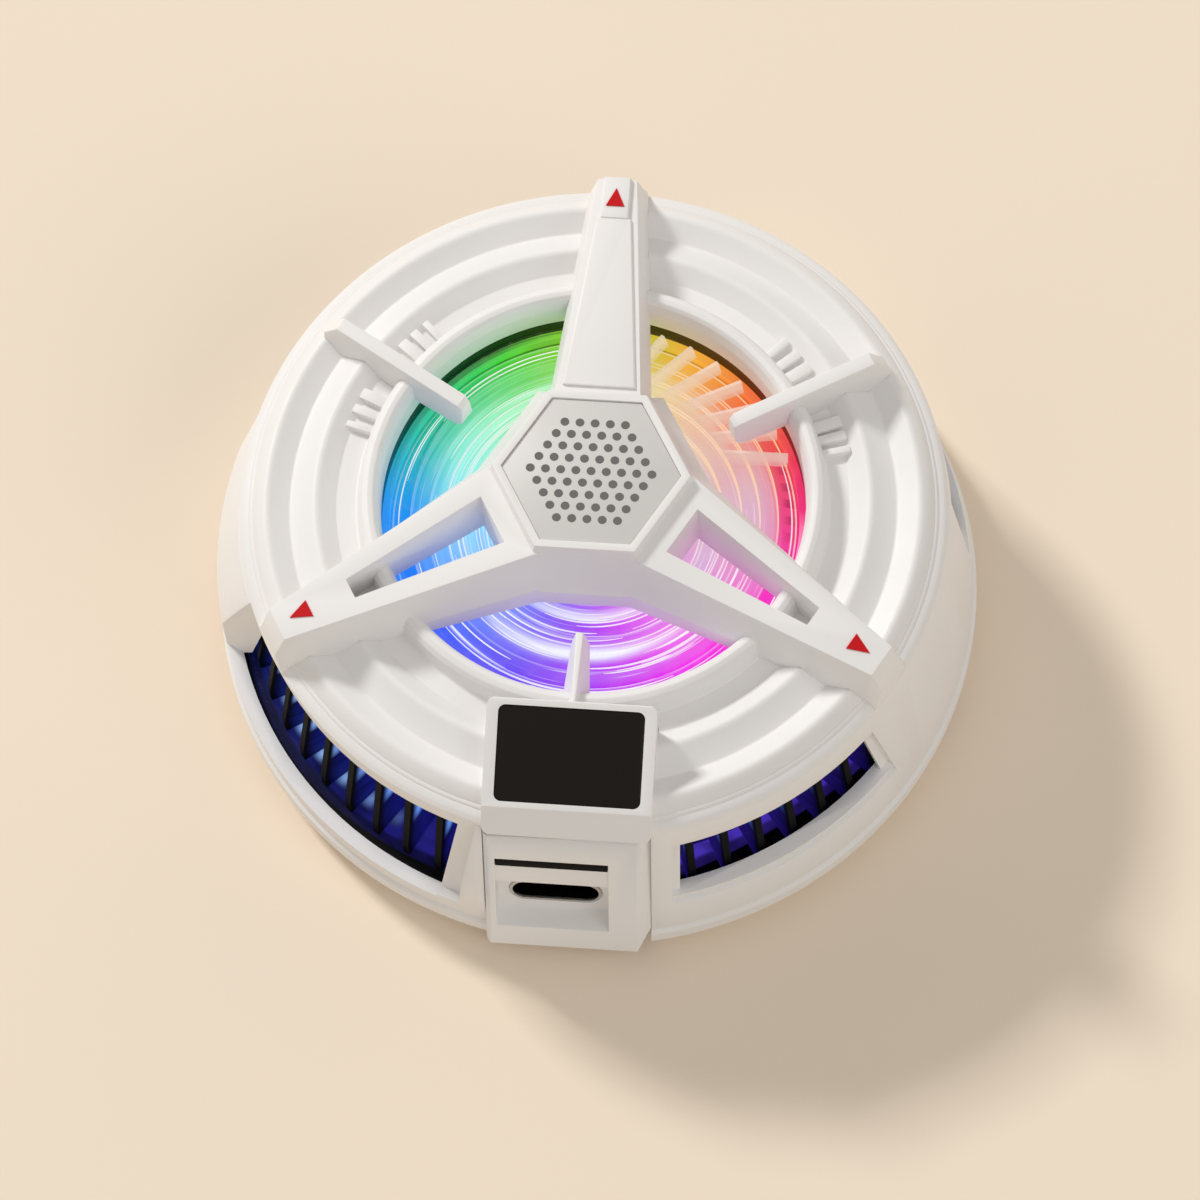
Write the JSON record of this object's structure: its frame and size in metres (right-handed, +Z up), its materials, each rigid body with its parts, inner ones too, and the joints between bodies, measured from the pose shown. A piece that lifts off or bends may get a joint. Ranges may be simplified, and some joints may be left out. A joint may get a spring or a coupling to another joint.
{
  "type": "phone cooling fan",
  "caption": "Round thermoelectric phone cooler with a magnetic contact face, a clear fan under a three-arm guard, side vents, a display and a plug socket.",
  "frame": {"origin": "centre of the flat face that touches the phone, on the fan axis", "axes": "+Z up along the fan axis away from the phone, -Y towards the display and the plug socket"},
  "size_m": [0.0754, 0.0759, 0.0311],
  "materials": {
    "bare_aluminium": "turned",
    "black_fins": "black anodised",
    "black_glass": "black backed glass",
    "black_plastic": "moulded black",
    "board_green": "solder mask",
    "brass_tube": "turned",
    "capacitor_tan": "fired ceramic",
    "cell_metal": "sawn",
    "ceramic": "alumina",
    "clear_frame": "clear moulded",
    "clear_rotor": "clear moulded",
    "copper_wire": "enamelled copper",
    "core_steel": "stacked laminations",
    "foam": "closed-cell foam",
    "gold_contact": "gold flashed",
    "grey_plate": "satin light grey",
    "led_blue": "blue chip light",
    "led_white": "chip light",
    "light_deck": "milky, lit from its edge",
    "magnet_metal": "nickel plated magnet",
    "plated_steel": "nickel plated",
    "red_mark": "printed red",
    "ribbon_amber": "polyimide film",
    "soft_grey": "soft silicone",
    "white_case": "fine matt moulded white",
    "white_guard": "fine matt moulded white"
  },
  "bodies": {
    "case": {"arm_frame": "white_guard", "arm_panel": "white_guard", "arrow_marks": "red_mark", "badge_plate": "grey_plate", "base_screws": "plated_steel", "base_shell": "white_case", "bearing_tube": "brass_tube", "board_capacitors": "capacitor_tan", "body_shell": "white_case", "cold_plate": "bare_aluminium", "control_chip": "black_plastic", "display_glass": "black_glass", "display_housing": "white_case", "display_module": "black_plastic", "display_ribbon": "ribbon_amber", "fan_frame": "clear_frame", "fan_leds": "led_white", "fin_front": "white_guard", "fin_left": "white_guard", "fin_right": "white_guard", "foam_frame": "foam", "heat_sink": "black_fins", "led_board": "board_green", "light_deck": "light_deck", "lower_bearing": "plated_steel", "magnet_cover": "soft_grey", "magnet_shield": "plated_steel", "magnets": "magnet_metal", "main_board": "board_green", "motor_board": "board_green", "peltier_cold_face": "ceramic", "peltier_hot_face": "ceramic", "peltier_pellets": "cell_metal", "port_housing": "white_case", "power_coil": "black_plastic", "side_leds": "led_blue", "stator_coils": "copper_wire", "stator_core": "core_steel", "top_cover": "white_case", "upper_bearing": "plated_steel", "usb_contacts": "gold_contact", "usb_shell": "plated_steel", "usb_tongue": "black_plastic", "vent_floor": "black_plastic"},
    "rotor": {"fan_rotor": "clear_rotor", "rotor_magnet": "magnet_metal", "flux_ring": "plated_steel", "rotor_shaft": "plated_steel", "retaining_clip": "plated_steel"}
  },
  "joints": [
    {"name": "fan_spin", "type": "hinge", "parent": "case", "child": "rotor", "pos_m": [0, 0, 0.0185], "axis": [0, 0, 1], "continuous": true}
  ]
}
